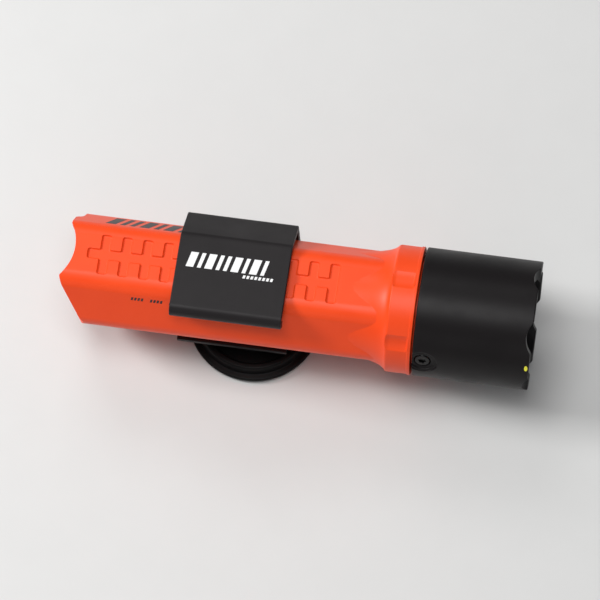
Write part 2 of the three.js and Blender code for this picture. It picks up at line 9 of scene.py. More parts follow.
import bmesh
import bpy
from mathutils import Matrix, Vector


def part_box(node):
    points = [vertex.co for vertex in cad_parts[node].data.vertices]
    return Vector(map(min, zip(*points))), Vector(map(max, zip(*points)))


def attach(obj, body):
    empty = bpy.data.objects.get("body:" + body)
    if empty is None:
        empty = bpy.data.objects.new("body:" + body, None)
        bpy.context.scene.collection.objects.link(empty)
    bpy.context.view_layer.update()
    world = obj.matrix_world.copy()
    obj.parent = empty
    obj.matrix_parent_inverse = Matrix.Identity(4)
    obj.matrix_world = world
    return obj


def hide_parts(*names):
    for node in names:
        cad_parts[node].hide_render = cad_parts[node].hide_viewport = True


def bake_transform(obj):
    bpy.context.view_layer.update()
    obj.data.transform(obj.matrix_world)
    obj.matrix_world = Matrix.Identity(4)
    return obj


MM = 0.001

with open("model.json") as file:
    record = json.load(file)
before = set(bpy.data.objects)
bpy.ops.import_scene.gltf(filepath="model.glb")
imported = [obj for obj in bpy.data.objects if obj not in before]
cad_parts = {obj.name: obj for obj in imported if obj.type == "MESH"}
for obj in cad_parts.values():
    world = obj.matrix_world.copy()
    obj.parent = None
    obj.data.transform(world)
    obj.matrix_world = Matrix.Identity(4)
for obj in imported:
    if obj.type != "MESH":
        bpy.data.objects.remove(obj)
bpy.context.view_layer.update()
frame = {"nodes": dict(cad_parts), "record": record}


# ---- Sizes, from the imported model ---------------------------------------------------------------
def box_mm(node):
    """A node's lowest and highest corners, in millimetres."""
    low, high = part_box(node)
    return low / MM, high / MM


BODY_LOW, BODY_HIGH = box_mm("body_shell")
HEAD_LOW, HEAD_HIGH = box_mm("head_shell")
LENS_LOW, LENS_HIGH = box_mm("lens")
CLIP_LOW, CLIP_HIGH = box_mm("clip")
BASE_LOW, BASE_HIGH = box_mm("base_disc")
PAD_LOW, PAD_HIGH = box_mm("adhesive_pad")

TAIL_X = BODY_LOW.x
AXIS_Z = (LENS_LOW.z + LENS_HIGH.z) / 2
LENGTH = HEAD_HIGH.x - TAIL_X
NECK_END = BODY_HIGH.x - TAIL_X
HEAD_START = HEAD_LOW.x - TAIL_X
HEAD_R = (HEAD_HIGH.z - HEAD_LOW.z) / 2

FLAT = 17.8                 # axis to a flat of the body, and to a rounded corner
CORNER = 19.5
BAY_FLAT = 14.9             # the same for the bay and the recess inside it
BAY_CORNER = 16.5
TAIL_FLOOR = (13.0, 15.5)
BUTTON_HOLE_R = 6.6
FLARE_START = 97.0
RING_START = 113.2
RING_END = 122.0
RING_R = 22.05
NECK_R = 18.0
NECK_BORE_R = 15.9
HEAD_BORE_R = 18.9
FRONT_LIP = 157.5
FRONT_OPENING_R = 17.9
LOCK_X = 126.2
LOCK_ANGLE = -70.0
CLIP_WALL = 2.1
INK = 0.03                  # thickness of the printed marks, and the gap under them
INK_GAP = 0.005

LIGHT = Matrix.Translation(Vector((TAIL_X, 0, AXIS_Z)) * MM)
UP = Vector((1, 0, 0)).rotation_difference(Vector((0, 0, 1))).to_matrix().to_4x4()


def about_light(angle):
    """Turns what is made for the light's top side to another angle, +90 being the +Y side."""
    return LIGHT @ Matrix.Rotation(math.radians(-angle), 4, "X")


# ---- Modelling helpers --------------------------------------------------------------------------
def only(obj):
    bpy.ops.object.select_all(action="DESELECT")
    obj.select_set(True)
    bpy.context.view_layer.objects.active = obj


def edit(obj, kind="VERT"):
    only(obj)
    bpy.ops.object.mode_set(mode="EDIT")
    bpy.ops.mesh.select_mode(type=kind)
    bpy.ops.mesh.select_all(action="DESELECT")


def done():
    bpy.ops.object.mode_set(mode="OBJECT")


def pick_edges(obj, test):
    """Selects the edges whose middle, faces' angle and direction pass the test."""
    mesh = bmesh.from_edit_mesh(obj.data)
    for edge in mesh.edges:
        middle = (edge.verts[0].co + edge.verts[1].co) / (2 * MM)
        along = (edge.verts[1].co - edge.verts[0].co).normalized()
        bend = edge.calc_face_angle(0.0)
        if test(middle, along, bend):
            edge.select_set(True)
    bmesh.update_edit_mesh(obj.data)


def place(obj, matrix):
    """Moves the mesh itself, so that the object stays at the origin."""
    obj.data.transform(matrix)
    if matrix.determinant() < 0:
        obj.data.flip_normals()
    return obj


def chain(name, points):
    """One vertex of a plane, extruded from point to point. Stays in edit mode, all selected."""
    bpy.ops.object.select_all(action="DESELECT")
    bpy.ops.mesh.primitive_plane_add(size=MM, location=(0, 0, 0))
    obj = bpy.context.object
    obj.name = name
    bpy.ops.object.mode_set(mode="EDIT")
    bpy.ops.mesh.select_mode(type="VERT")
    bpy.ops.mesh.select_all(action="SELECT")
    bpy.ops.mesh.merge(type="CENTER")
    here = Vector(points[0]) * MM
    bpy.ops.transform.translate(value=here)
    for point in points[1:]:
        there = Vector(point) * MM
        bpy.ops.mesh.extrude_vertices_move(TRANSFORM_OT_translate={"value": there - here})
        here = there
    bpy.ops.mesh.select_all(action="SELECT")
    return obj


def spun(name, profile, steps=96, matrix=LIGHT):
    """A round about X from its profile of [along, radius] points, then put in place."""
    obj = chain(name, [(along, 0, radius) for along, radius in profile])
    bpy.ops.mesh.spin(steps=steps, angle=2 * math.pi, center=(0, 0, 0), axis=(1, 0, 0))
    bpy.ops.mesh.select_all(action="SELECT")
    bpy.ops.mesh.remove_doubles(threshold=0.002 * MM)
    bpy.ops.mesh.normals_make_consistent(inside=False)
    done()
    return place(obj, matrix)


def prism(name, outline, depth, matrix):
    """An outline in X and Y, filled, given its depth along Z, then put in place."""
    obj = chain(name, [(x, y, 0) for x, y in outline])
    bpy.ops.mesh.edge_face_add()
    bpy.ops.mesh.extrude_region_move(TRANSFORM_OT_translate={"value": (0, 0, depth * MM)})
    bpy.ops.mesh.select_all(action="SELECT")
    bpy.ops.mesh.normals_make_consistent(inside=False)
    done()
    return place(obj, matrix)


def filleted(corners, closed=True, steps=5):
    """An outline from (a, b, radius) corners, each rounded to its radius."""
    points = []
    count = len(corners)
    for i, (a, b, radius) in enumerate(corners):
        here = Vector((a, b))
        if radius <= 0 or (not closed and i in (0, count - 1)):
            points.append((a, b))
            continue
        before = (Vector(corners[i - 1][:2]) - here).normalized()
        after = (Vector(corners[(i + 1) % count][:2]) - here).normalized()
        half = before.angle(after) / 2
        reach = radius / math.tan(half)
        centre = here + (before + after).normalized() * (radius / math.sin(half))
        start = here + before * reach - centre
        end = here + after * reach - centre
        sweep = start.angle_signed(end)
        for k in range(steps + 1):
            spoke = start.copy()
            spoke.rotate(Matrix.Rotation(-sweep * k / steps, 2))
            points.append(tuple(centre + spoke))
    return points


def copies(obj, matrices):
    """Copies of a piece, each with its own mesh, joined in one object in place of the first."""
    made = []
    for matrix in matrices:
        twin = obj.copy()
        twin.data = obj.data.copy()
        bpy.context.collection.objects.link(twin)
        made.append(place(twin, matrix))
    bpy.data.objects.remove(obj)
    bpy.ops.object.select_all(action="DESELECT")
    for twin in made:
        twin.select_set(True)
    bpy.context.view_layer.objects.active = made[0]
    if len(made) > 1:
        bpy.ops.object.join()
    return bpy.context.object


def combine(obj, other, operation="DIFFERENCE"):
    """A boolean with another solid, applied at once. The other solid is used up."""
    only(obj)
    change = obj.modifiers.new("combine", "BOOLEAN")
    change.object = other
    change.operation = operation
    change.solver = "EXACT"
    bpy.ops.object.modifier_apply(modifier=change.name)
    bpy.data.objects.remove(other)
    return obj


def clean(obj, distance=0.01):
    """Merges what lies closer than the distance, and drops faces with no area."""
    edit(obj)
    bpy.ops.mesh.select_all(action="SELECT")
    bpy.ops.mesh.remove_doubles(threshold=distance * MM)
    bpy.ops.mesh.dissolve_degenerate(threshold=distance * MM)
    done()


def soften(obj, width, segments=2, angle=30):
    """Small rounds on every edge sharper than the angle."""
    only(obj)
    change = obj.modifiers.new("soften", "BEVEL")
    change.width = width * MM
    change.segments = segments
    change.limit_method = "ANGLE"
    change.angle_limit = math.radians(angle)
    change.use_clamp_overlap = False
    change.miter_outer = "MITER_ARC"
    bpy.ops.object.modifier_apply(modifier=change.name)
    return obj


def bevel_picked(width, segments):
    bpy.ops.mesh.bevel(offset=width * MM, segments=segments, affect="EDGES", clamp_overlap=False)


def smooth(obj, angle=32):
    """Smooth shading up to the angle, with the large faces kept truly flat."""
    only(obj)
    bpy.ops.object.shade_smooth_by_angle(angle=math.radians(angle))
    change = obj.modifiers.new("flats", "WEIGHTED_NORMAL")
    change.mode = "FACE_AREA"
    change.weight = 50
    change.keep_sharp = True
    bpy.ops.object.modifier_apply(modifier=change.name)
    return obj


def finish(obj, material, body, slot, *nodes):
    """Gives a piece its material and its body if it rides on one, and hides the imported nodes that
    it stands for.
    """
    obj.data.materials.clear()
    obj.data.materials.append(material)
    if body:
        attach(obj, body)
    if nodes:
        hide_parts(*nodes)
    return obj


# ---- Materials ----------------------------------------------------------------------------------
def new_group(name, inputs, outputs):
    group = bpy.data.node_groups.new(name, "ShaderNodeTree")
    for label, kind, value in inputs:
        socket = group.interface.new_socket(label, in_out="INPUT", socket_type=kind)
        socket.default_value = value
    for label, kind in outputs:
        group.interface.new_socket(label, in_out="OUTPUT", socket_type=kind)
    return group, group.nodes.new("NodeGroupInput"), group.nodes.new("NodeGroupOutput")


def link(group, source, target):
    group.links.new(source, target)


def node(tree, kind, **values):
    """A node with its settings; a value for a numbered or named input is given as in_NAME."""
    made = tree.nodes.new(kind)
    for key, value in values.items():
        if key.startswith("in_"):
            label = key[3:].replace("_", " ")
            made.inputs[int(label) if label.isdigit() else label].default_value = value
        else:
            setattr(made, key, value)
    return made


def moulded_grain():
    """Fine spark-eroded grain of a mould, with a much wider, very shallow waviness."""
    group, given, out = new_group(
        "moulded_grain",
        [("Grain Size", "NodeSocketFloat", 0.35), ("Depth", "NodeSocketFloat", 0.02)],
        [("Normal", "NodeSocketVector")])
    place_at = node(group, "ShaderNodeTexCoord")
    scale = node(group, "ShaderNodeMath", operation="DIVIDE", in_0=1.0 / MM)
    fine = node(group, "ShaderNodeTexNoise", in_Detail=3.0, in_Roughness=0.6)
    wave = node(group, "ShaderNodeTexNoise", in_Scale=90.0, in_Detail=1.0)
    total = node(group, "ShaderNodeMath", operation="MULTIPLY_ADD", in_1=0.6)
    height = node(group, "ShaderNodeMath", operation="MULTIPLY")
    bump = node(group, "ShaderNodeBump", in_Strength=1.0, in_Distance=MM)
    link(group, given.outputs["Grain Size"], scale.inputs[1])
    link(group, place_at.outputs["Object"], fine.inputs["Vector"])
    link(group, place_at.outputs["Object"], wave.inputs["Vector"])
    link(group, scale.outputs[0], fine.inputs["Scale"])
    link(group, wave.outputs["Fac"], total.inputs[0])
    link(group, fine.outputs["Fac"], total.inputs[2])
    link(group, total.outputs[0], height.inputs[0])
    link(group, given.outputs["Depth"], height.inputs[1])
    link(group, height.outputs[0], bump.inputs["Height"])
    link(group, bump.outputs["Normal"], out.inputs["Normal"])
    return group


def handling():
    """Patches that hands have polished, with a few fine scratches: a mask from 0 to 1."""
    group, given, out = new_group(
        "handling",
        [("Patch Size", "NodeSocketFloat", 14.0), ("Scratches", "NodeSocketFloat", 0.5)],
        [("Mask", "NodeSocketFloat")])
    place_at = node(group, "ShaderNodeTexCoord")
    scale = node(group, "ShaderNodeMath", operation="DIVIDE", in_0=1.0 / MM)
    patch = node(group, "ShaderNodeTexNoise", in_Detail=4.0, in_Roughness=0.55)
    spread = node(group, "ShaderNodeMapRange", in_From_Min=0.35, in_From_Max=0.7)
    stretch = node(group, "ShaderNodeMapping", in_Scale=(60.0, 1500.0, 1500.0))
    stretch.inputs["Rotation"].default_value = (0.3, 0.1, 0.25)
    lines = node(group, "ShaderNodeTexNoise", in_Scale=1.0, in_Detail=2.0)
    thin = node(group, "ShaderNodeMapRange", in_From_Min=0.68, in_From_Max=0.74)
    weigh = node(group, "ShaderNodeMath", operation="MULTIPLY")
    total = node(group, "ShaderNodeMath", operation="ADD", use_clamp=True)
    link(group, given.outputs["Patch Size"], scale.inputs[1])
    link(group, scale.outputs[0], patch.inputs["Scale"])
    link(group, place_at.outputs["Object"], patch.inputs["Vector"])
    link(group, patch.outputs["Fac"], spread.inputs["Value"])
    link(group, place_at.outputs["Object"], stretch.inputs["Vector"])
    link(group, stretch.outputs["Vector"], lines.inputs["Vector"])
    link(group, lines.outputs["Fac"], thin.inputs["Value"])
    link(group, thin.outputs["Result"], weigh.inputs[0])
    link(group, given.outputs["Scratches"], weigh.inputs[1])
    link(group, spread.outputs["Result"], total.inputs[0])
    link(group, weigh.outputs[0], total.inputs[1])
    link(group, total.outputs[0], out.inputs["Mask"])
    return group


GRAIN = moulded_grain()
HANDLING = handling()


def surface(name, colour, second, rough, metal=0.0, grain=0.35, depth=0.02, patch=14.0,
            scratches=0.4, specular=0.5):
    """A moulded or metal surface: two near colours and roughnesses mixed by handling, and grain."""
    material = bpy.data.materials.new(name)
    material.use_nodes = True
    tree = material.node_tree
    shader = tree.nodes["Principled BSDF"]
    shader.inputs["Metallic"].default_value = metal
    shader.inputs["Specular IOR Level"].default_value = specular
    mask = node(tree, "ShaderNodeGroup", node_tree=HANDLING)
    mask.inputs["Patch Size"].default_value = patch
    mask.inputs["Scratches"].default_value = scratches
    mix = node(tree, "ShaderNodeMix", data_type="RGBA")
    mix.inputs["A"].default_value = (*colour, 1)
    mix.inputs["B"].default_value = (*second, 1)
    shine = node(tree, "ShaderNodeMapRange", in_To_Min=rough[0], in_To_Max=rough[1])
    normal = node(tree, "ShaderNodeGroup", node_tree=GRAIN)
    normal.inputs["Grain Size"].default_value = grain
    normal.inputs["Depth"].default_value = depth
    link(tree, mask.outputs["Mask"], mix.inputs["Factor"])
    link(tree, mask.outputs["Mask"], shine.inputs["Value"])
    link(tree, mix.outputs["Result"], shader.inputs["Base Color"])
    link(tree, shine.outputs["Result"], shader.inputs["Roughness"])
    link(tree, normal.outputs["Normal"], shader.inputs["Normal"])
    return material


def clear_plastic(name):
    material = bpy.data.materials.new(name)
    material.use_nodes = True
    tree = material.node_tree
    shader = tree.nodes["Principled BSDF"]
    shader.inputs["Transmission Weight"].default_value = 1.0
    shader.inputs["IOR"].default_value = 1.5
    shader.inputs["Base Color"].default_value = (0.97, 0.99, 1.0, 1)
    mask = node(tree, "ShaderNodeGroup", node_tree=HANDLING)
    shine = node(tree, "ShaderNodeMapRange", in_To_Min=0.02, in_To_Max=0.06)
    link(tree, mask.outputs["Mask"], shine.inputs["Value"])
    link(tree, shine.outputs["Result"], shader.inputs["Roughness"])
    return material


ORANGE = surface(
    "orange_nylon", (0.90, 0.072, 0.011), (0.87, 0.066, 0.010), (0.42, 0.36), depth=0.012,
    specular=0.26)
BLACK = surface(
    "black_nylon", (0.0065, 0.0052, 0.0056), (0.0085, 0.0070, 0.0074), (0.46, 0.38), depth=0.012,
    specular=0.16)
CLIP_BLACK = surface(
    "clip_nylon", (0.0115, 0.0095, 0.0102), (0.014, 0.0118, 0.0125), (0.5, 0.42), depth=0.014,
    specular=0.2)
# Darker than the head's black nylon: partly the disc's own deeper black, partly painted shade for
# the little light that reaches it from below.
DISC_BLACK_SHADED = surface(
    "disc_nylon_shaded", (0.0035, 0.003, 0.0032), (0.005, 0.0045, 0.0047), (0.5, 0.42), depth=0.012,
    specular=0.11)
RUBBER = surface(
    "soft_rubber", (0.012, 0.012, 0.012), (0.018, 0.017, 0.017), (0.72, 0.6), grain=0.25)
FOAM = surface(
    "acrylic_foam", (0.02, 0.02, 0.02), (0.03, 0.03, 0.03), (0.95, 0.88), grain=0.6, depth=0.08)
STEEL = surface(
    "bright_steel", (0.62, 0.63, 0.65), (0.55, 0.56, 0.58), (0.28, 0.38), metal=1.0, grain=0.2,
    depth=0.004)
DARK_STEEL = surface(
    "black_oxide_steel", (0.035, 0.034, 0.034), (0.07, 0.066, 0.064), (0.26, 0.36), metal=1.0,
    grain=0.2, depth=0.005)
BRASS = surface(
    "plated_brass", (0.72, 0.52, 0.20), (0.62, 0.43, 0.16), (0.26, 0.36), metal=1.0, grain=0.2,
    depth=0.004)
ALUMINIUM = surface(
    "turned_aluminium", (0.60, 0.61, 0.62), (0.52, 0.53, 0.54), (0.34, 0.44), metal=1.0,
    grain=0.25, depth=0.006)
MIRROR = surface(
    "reflector_mirror", (0.88, 0.89, 0.90), (0.86, 0.87, 0.88), (0.05, 0.09), metal=1.0,
    grain=1.1, patch=9.0, scratches=0.1)
WHITE = surface("white_moulding", (0.78, 0.78, 0.75), (0.72, 0.72, 0.69), (0.45, 0.38))
LED = surface("led_silicone", (0.90, 0.70, 0.06), (0.82, 0.60, 0.04), (0.22, 0.3), depth=0.004)
WRAP = surface(
    "cell_sleeve", (0.05, 0.09, 0.15), (0.07, 0.11, 0.17), (0.3, 0.38), metal=0.3, grain=0.4,
    depth=0.006)
WHITE_INK = surface(
    "white_ink", (0.86, 0.86, 0.86), (0.78, 0.78, 0.78), (0.45, 0.38), depth=0.006)
BLACK_INK = surface(
    "black_ink", (0.010, 0.009, 0.010), (0.018, 0.014, 0.014), (0.5, 0.42), depth=0.006)
YELLOW_MARK = surface(
    "yellow_mark", (0.90, 0.86, 0.05), (0.84, 0.78, 0.04), (0.4, 0.34), depth=0.006)
CLEAR = clear_plastic("clear_polycarbonate")


# ---- The orange body ----------------------------------------------------------------------------
def hex_bar(name, flat, corner, start, end):
    """A six-sided cylinder along the light, its long edges bevelled to round corners."""
    bpy.ops.object.select_all(action="DESELECT")
    sharp = flat / math.cos(math.radians(30))
    bpy.ops.mesh.primitive_cylinder_add(vertices=6, radius=sharp * MM, depth=(end - start) * MM)
    obj = bpy.context.object
    obj.name = name
    turn = Matrix.Rotation(math.pi / 2, 4, "Y")
    place(obj, LIGHT @ Matrix.Translation(((start + end) / 2 * MM, 0, 0)) @ turn)
    round_r = corner - (corner - flat) / (1 - math.cos(math.radians(30)))
    edit(obj, "EDGE")
    pick_edges(obj, lambda middle, along, bend: abs(along.x) > 0.9)
    bevel_picked(round_r * math.tan(math.radians(30)), segments=10)
    done()
    return obj


def comb_cutter():
    """A strip with teeth on both sides, its walls curving softly into its floor."""
    start, stem, reach, depth, height = 8.3, 1.85, 7.1, 0.75, 3.0
    first, pitch, tooth, teeth = 12.5, 7.17, 3.45, 12
    tip, root, floor_round = 0.8, 0.35, 0.62
    lower = [(start, -stem, tip)]
    for k in range(teeth):
        left = first + k * pitch
        right = left + tooth
        lower.append((left, -stem, root))
        lower.append((left, -reach, tip))
        lower.append((right, -reach, tip))
        lower.append((right, -stem, root))
    lower.pop()
    corners = lower + [(x, -y, turn) for x, y, turn in reversed(lower)]
    floor = FLAT - depth
    at_floor = Matrix.Translation((0, 0, floor * MM))
    cutter = prism("comb_cutter", filleted(corners, steps=3), height, at_floor)
    edit(cutter, "EDGE")
    pick_edges(cutter, lambda middle, along, bend: abs(middle.z - floor) < 0.01 and bend > 0.5)
    bevel_picked(floor_round, segments=3)
    done()
    return copies(cutter, [about_light(angle) for angle in (0, 120, 240)])


def smooth_notch(name, half, depth, matrix):
    """A cutter with a soft notch outline, given as half of it from its bottom to its lip."""
    dense = []
    for i in range(len(half) - 1):
        p0, p1, p2, p3 = half[max(i - 1, 0)], half[i], half[i + 1], half[min(i + 2, len(half) - 1)]
        if i == 0:
            p0 = (-p2[0], p2[1])
        for k in range(5):
            t = k / 5
            dense.append(tuple(
                0.5 * (2 * b + (c - a) * t + (2 * a - 5 * b + 4 * c - d) * t * t
                       + (3 * b - a - 3 * c + d) * t ** 3)
                for a, b, c, d in zip(p0, p1, p2, p3)))
    dense.append(half[-1])
    dense.append((half[-1][0] + 0.2, -2.0))
    outline = [(d, w) for w, d in dense] + [(d, -w) for w, d in reversed(dense[1:])]
    return prism(name, outline, depth, matrix)


def crown_cutters():
    """The notches round the tail's rim: one for the thumb, one for a lanyard, two shallow ones."""
    thumb = filleted([
        (-2, -18, 0), (2.6, -18, 0), (8.6, 0, 2.4), (0, 16.9, 0), (-2, 16.9, 0)], steps=6)
    lanyard = [(0, 3.9), (5, 3.7), (7.6, 3.2), (8.7, 1.9), (9.6, 1.05)]
    crest = [(-2, 8.8), (1.2, 8.8), (1.2, 21), (-2, 21)]
    sideways = Matrix.Rotation(math.pi / 2, 4, "X")
    at_thumb = LIGHT @ Matrix.Translation((0, -6 * MM, 0)) @ sideways
    at_lanyard = LIGHT @ Matrix.Translation((0, 20 * MM, 0)) @ sideways
    at_crest = LIGHT @ Matrix.Translation((0, 0, -22 * MM))
    return [
        prism("thumb_cutter", thumb, 14, at_thumb),
        smooth_notch("lanyard_cutter", lanyard, 14, at_lanyard),
        shallow_cutter(1),
        shallow_cutter(-1),
        prism("crest_cutter", crest, 44, at_crest),
    ]


def shallow_cutter(side):
    """A wide, shallow round notch in the tail's upper or lower rim."""
    radius, middle, depth, tall = 16.0, 1.5, 3.85, 16.0
    bpy.ops.object.select_all(action="DESELECT")
    bpy.ops.mesh.primitive_cylinder_add(vertices=160, radius=radius * MM, depth=tall * MM)
    cutter = bpy.context.object
    spot = Vector((depth - radius, middle, side * (tall / 2 + 4))) * MM
    return place(cutter, LIGHT @ Matrix.Translation(spot))


def collar():
    """Flare, ring, thin front bead and neck, as one spun solid."""
    flare = [(FLARE_START, FLAT - 0.2)]
    start = Vector((FLARE_START, FLAT - 0.2))
    bow = Vector((111.2, FLAT + 0.8))
    end = Vector((RING_START, RING_R - 0.35))
    for k in range(1, 15):
        t = k / 15
        flare.append(tuple(start * (1 - t) ** 2 + bow * (2 * t * (1 - t)) + end * t ** 2))
    ring = filleted([
        (*flare[-1], 0), (RING_START + 0.1, RING_R - 0.05, 0.9),
        (RING_END - 1.25, RING_R - 0.05, 0.15), (RING_END - 1.05, RING_R + 0.1, 0.1),
        (RING_END, RING_R + 0.1, 0.3), (RING_END, NECK_R, 0.2),
        (NECK_END, NECK_R, 0.6), (NECK_END, 0, 0)], closed=False, steps=5)
    profile = [(FLARE_START, 0), *flare[:-1], *ring]
    return spun("collar", profile, 144)


def flute_cutters():
    """Six shallow finger grooves round the ring, with round noses that run out on the flare."""
    width, depth, start, end, nose = 7.5, 0.9, 108.6, 120.9, 6.0
    first_angle, front = 9, 0.8
    radius = (width * width / 4 + depth * depth) / (2 * depth)
    profile = [(start, 0)]
    for k in range(1, 13):
        a = math.pi / 2 * k / 12
        profile.append((start + nose * (1 - math.cos(a)), radius * math.sin(a)))
    for k in range(0, 5):
        a = math.pi / 2 * k / 4
        profile.append((end - front + front * math.sin(a), radius - front + front * math.cos(a)))
    profile.append((end, 0))
    lift = Matrix.Translation((0, 0, (RING_R - depth + radius) * MM))
    cutter = spun("flute_cutter", profile, 120, lift)
    return copies(cutter, [about_light(first_angle + 60 * k) for k in range(6)])


def body_shell():
    """The orange body in one piece, from the tail's rim to the neck that the head screws on."""
    bay_end = 100
    bore = [(bay_end - 1, 0), (bay_end - 1, NECK_BORE_R), (NECK_END + 1, NECK_BORE_R),
            (NECK_END + 1, 0)]
    floor, bay_start = TAIL_FLOOR
    button_hole = [(floor - 1, 0), (floor - 1, BUTTON_HOLE_R), (bay_start + 1, BUTTON_HOLE_R),
                   (bay_start + 1, 0)]
    body = hex_bar("body_shell_fine", FLAT, CORNER, 0, RING_START + 1)
    combine(body, comb_cutter())
    combine(body, collar(), "UNION")
    combine(body, flute_cutters())
    combine(body, hex_bar("bay", BAY_FLAT, BAY_CORNER, bay_start, bay_end))
    combine(body, hex_bar("recess", BAY_FLAT, BAY_CORNER, -3, floor))
    combine(body, spun("bore", bore))
    combine(body, spun("button_hole", button_hole, 70))
    for cutter in crown_cutters():
        combine(body, cutter)
    clean(body)
    soften(body, 0.16)
    smooth(body)
    return finish(body, ORANGE, "light", "orange_plastic", "body_shell")


def coil(name, section, pitch, turns, steps):
    """A closed [along, radius] section swept round the light's axis by the Screw modifier."""
    thread = chain(name, [(x, 0, r) for x, r in section])
    bpy.ops.mesh.edge_face_add()
    bpy.ops.mesh.delete(type="ONLY_FACE")
    done()
    only(thread)
    change = thread.modifiers.new("helix", "SCREW")
    change.axis = "X"
    change.angle = 2 * math.pi * turns
    change.screw_offset = pitch * turns * MM
    change.steps = int(steps * turns)
    change.render_steps = int(steps * turns)
    bpy.ops.object.modifier_apply(modifier=change.name)
    edit(thread)
    bpy.ops.mesh.select_non_manifold()
    bpy.ops.mesh.fill_holes(sides=0)
    bpy.ops.mesh.select_all(action="SELECT")
    bpy.ops.mesh.normals_make_consistent(inside=False)
    done()
    place(thread, LIGHT)
    smooth(thread)
    return thread


def neck_thread():
    """The helical ridge that the head screws on."""
    section = [(123.2, 17.85), (123.65, 18.5), (124.0, 18.5), (124.45, 17.85)]
    finish(coil("neck_thread", section, 2.0, 2.5, 64), ORANGE, "light", "orange_plastic")


# ---- Printed marks ------------------------------------------------------------------------------
def printed_bars(name, bars, lift, matrix, material, body, slot):
    """A row of slanted bars, each (start, width, low, high) on a face, as a thin layer of ink."""
    slant = 0.24
    made = []
    for start, width, low, high in bars:
        outline = [
            (start + slant * low, low), (start + width + slant * low, low),
            (start + width + slant * high, high), (start + slant * high, high)]
        made.append(prism(name, outline, INK, Matrix.Translation((0, 0, lift * MM))))
    bpy.ops.object.select_all(action="DESELECT")
    for bar in made:
        bar.select_set(True)
    bpy.context.view_layer.objects.active = made[0]
    bpy.ops.object.join()
    sheet = bpy.context.object
    sheet.name = name
    place(sheet, matrix)
    return finish(sheet, material, body, slot)


def row(start, widths, gap, low, high):
    """Bars of these widths side by side, for printed_bars."""
    bars = []
    for width in widths:
        bars.append((start, width, low, high))
        start += width + gap
    return bars


def marks():
    """Plain bars and dashes where a maker's print would be."""
    clip_middle = Vector(((CLIP_LOW.x + CLIP_HIGH.x) / 2, 0, AXIS_Z)) * MM
    bars = row(-15.6, (2.6, 1.3, 2.6, 1.3, 1.3, 2.6, 1.3, 2.6, 1.3), 1.25, -1.2, 4.2)
    dashes = [(4.6 + 1.35 * k, 0.85, -3.0, -1.9) for k in range(8)]
    printed_bars("clip_mark", bars + dashes, CLIP_HIGH.z - AXIS_Z + INK_GAP,
                 Matrix.Translation(clip_middle), WHITE_INK, "swivel_clip", "white_plastic")
    tall = row(13.5, (3.4, 1.7, 1.7, 3.4, 1.7, 3.4, 1.7, 1.7, 3.4, 1.7, 3.4), 1.6, -5.2, 5.2)
    printed_bars("body_mark", tall, FLAT + INK_GAP, about_light(60), BLACK_INK, "light",
                 "black_plastic")
    small = [(24 + 6.6 * group + 1.15 * k, 0.7, 4.3, 5.6) for group in range(6) for k in range(4)]
    printed_bars("body_small_mark", small, FLAT + INK_GAP, about_light(-60), BLACK_INK, "light",
                 "black_plastic")


# ---- The head -----------------------------------------------------------------------------------
LOCK_WAY = Vector((0, math.sin(math.radians(LOCK_ANGLE)), math.cos(math.radians(LOCK_ANGLE))))
AT_LOCK = (LIGHT @ Matrix.Translation((LOCK_X * MM, 0, 0))
           @ Vector((1, 0, 0)).rotation_difference(LOCK_WAY).to_matrix().to_4x4())


def scallop_cutters():
    """Six round bites out of the bezel's rim."""
    radius, depth, tall = 8.6, 2.0, 12.0
    bpy.ops.object.select_all(action="DESELECT")
    bpy.ops.mesh.primitive_cylinder_add(vertices=160, radius=radius * MM, depth=tall * MM)
    cutter = bpy.context.object
    place(cutter, Matrix.Translation(Vector((LENGTH - depth + radius, 0, HEAD_R - 1)) * MM))
    return copies(cutter, [about_light(30 + 60 * k) for k in range(6)])


def head_shell():
    """The black head: a tube with a seal's groove, a scalloped bezel and the lock screw's seat."""
    groove, groove_r, half = 130.4, 19.75, 0.85
    profile = filleted([
        (HEAD_START, HEAD_BORE_R, 0.3), (HEAD_START, HEAD_R, 0.55), (LENGTH, HEAD_R, 0.4),
        (LENGTH, FRONT_OPENING_R, 0.7), (FRONT_LIP, FRONT_OPENING_R, 0.1),
        (FRONT_LIP, HEAD_BORE_R, 0.2), (groove + half, HEAD_BORE_R, 0),
        (groove + half, groove_r, 0), (groove - half, groove_r, 0),
        (groove - half, HEAD_BORE_R, 0)], steps=5)
    head = spun("head_shell_fine", [*profile, profile[0]], 180)
    combine(head, scallop_cutters())
    dish = filleted([
        (21.35, 0, 0), (21.35, 5.2, 0.25), (26, 5.6, 0), (26, 0, 0)], closed=False, steps=4)
    step = [(20.95, 0), (20.95, 4.0), (21.25, 4.25), (23, 4.3), (23, 0)]
    seat = [(19.6, 0), (19.6, 2.95), (23, 2.95), (23, 0)]
    hole = [(16, 0), (16, 1.8), (21, 1.8), (21, 0)]
    for name, outline in (("dish", dish), ("step", step), ("seat", seat), ("hole", hole)):
        combine(head, spun(name, outline, 72, AT_LOCK))
    clean(head)
    soften(head, 0.14)
    smooth(head)
    return finish(head, BLACK, "head", "black_plastic", "head_shell")


def lock_screw():
    """A low round head with a six-lobed socket."""
    screw = spun("lock_screw_fine", filleted([
        (19.15, 0, 0), (19.15, 1.5, 0.3), (20.2, 1.5, 0.05), (20.2, 2.6, 0.15),
        (21.1, 2.6, 0.35), (21.1, 0, 0)], closed=False, steps=5), 72, AT_LOCK)
    middle_r, lobe, count, floor = 1.22, 0.2, 72, 20.45
    lobes = []
    for k in range(count):
        a = 2 * math.pi * k / count
        r = middle_r + lobe * math.cos(6 * a)
        lobes.append((r * math.cos(a), r * math.sin(a)))
    turn = Matrix.Rotation(math.pi / 2, 4, "Y")
    stand = AT_LOCK @ Matrix.Translation((floor * MM, 0, 0)) @ turn
    combine(screw, prism("socket", lobes, 2, stand))
    soften(screw, 0.05)
    smooth(screw)
    return finish(screw, DARK_STEEL, "lock", "steel", "lock_screw")


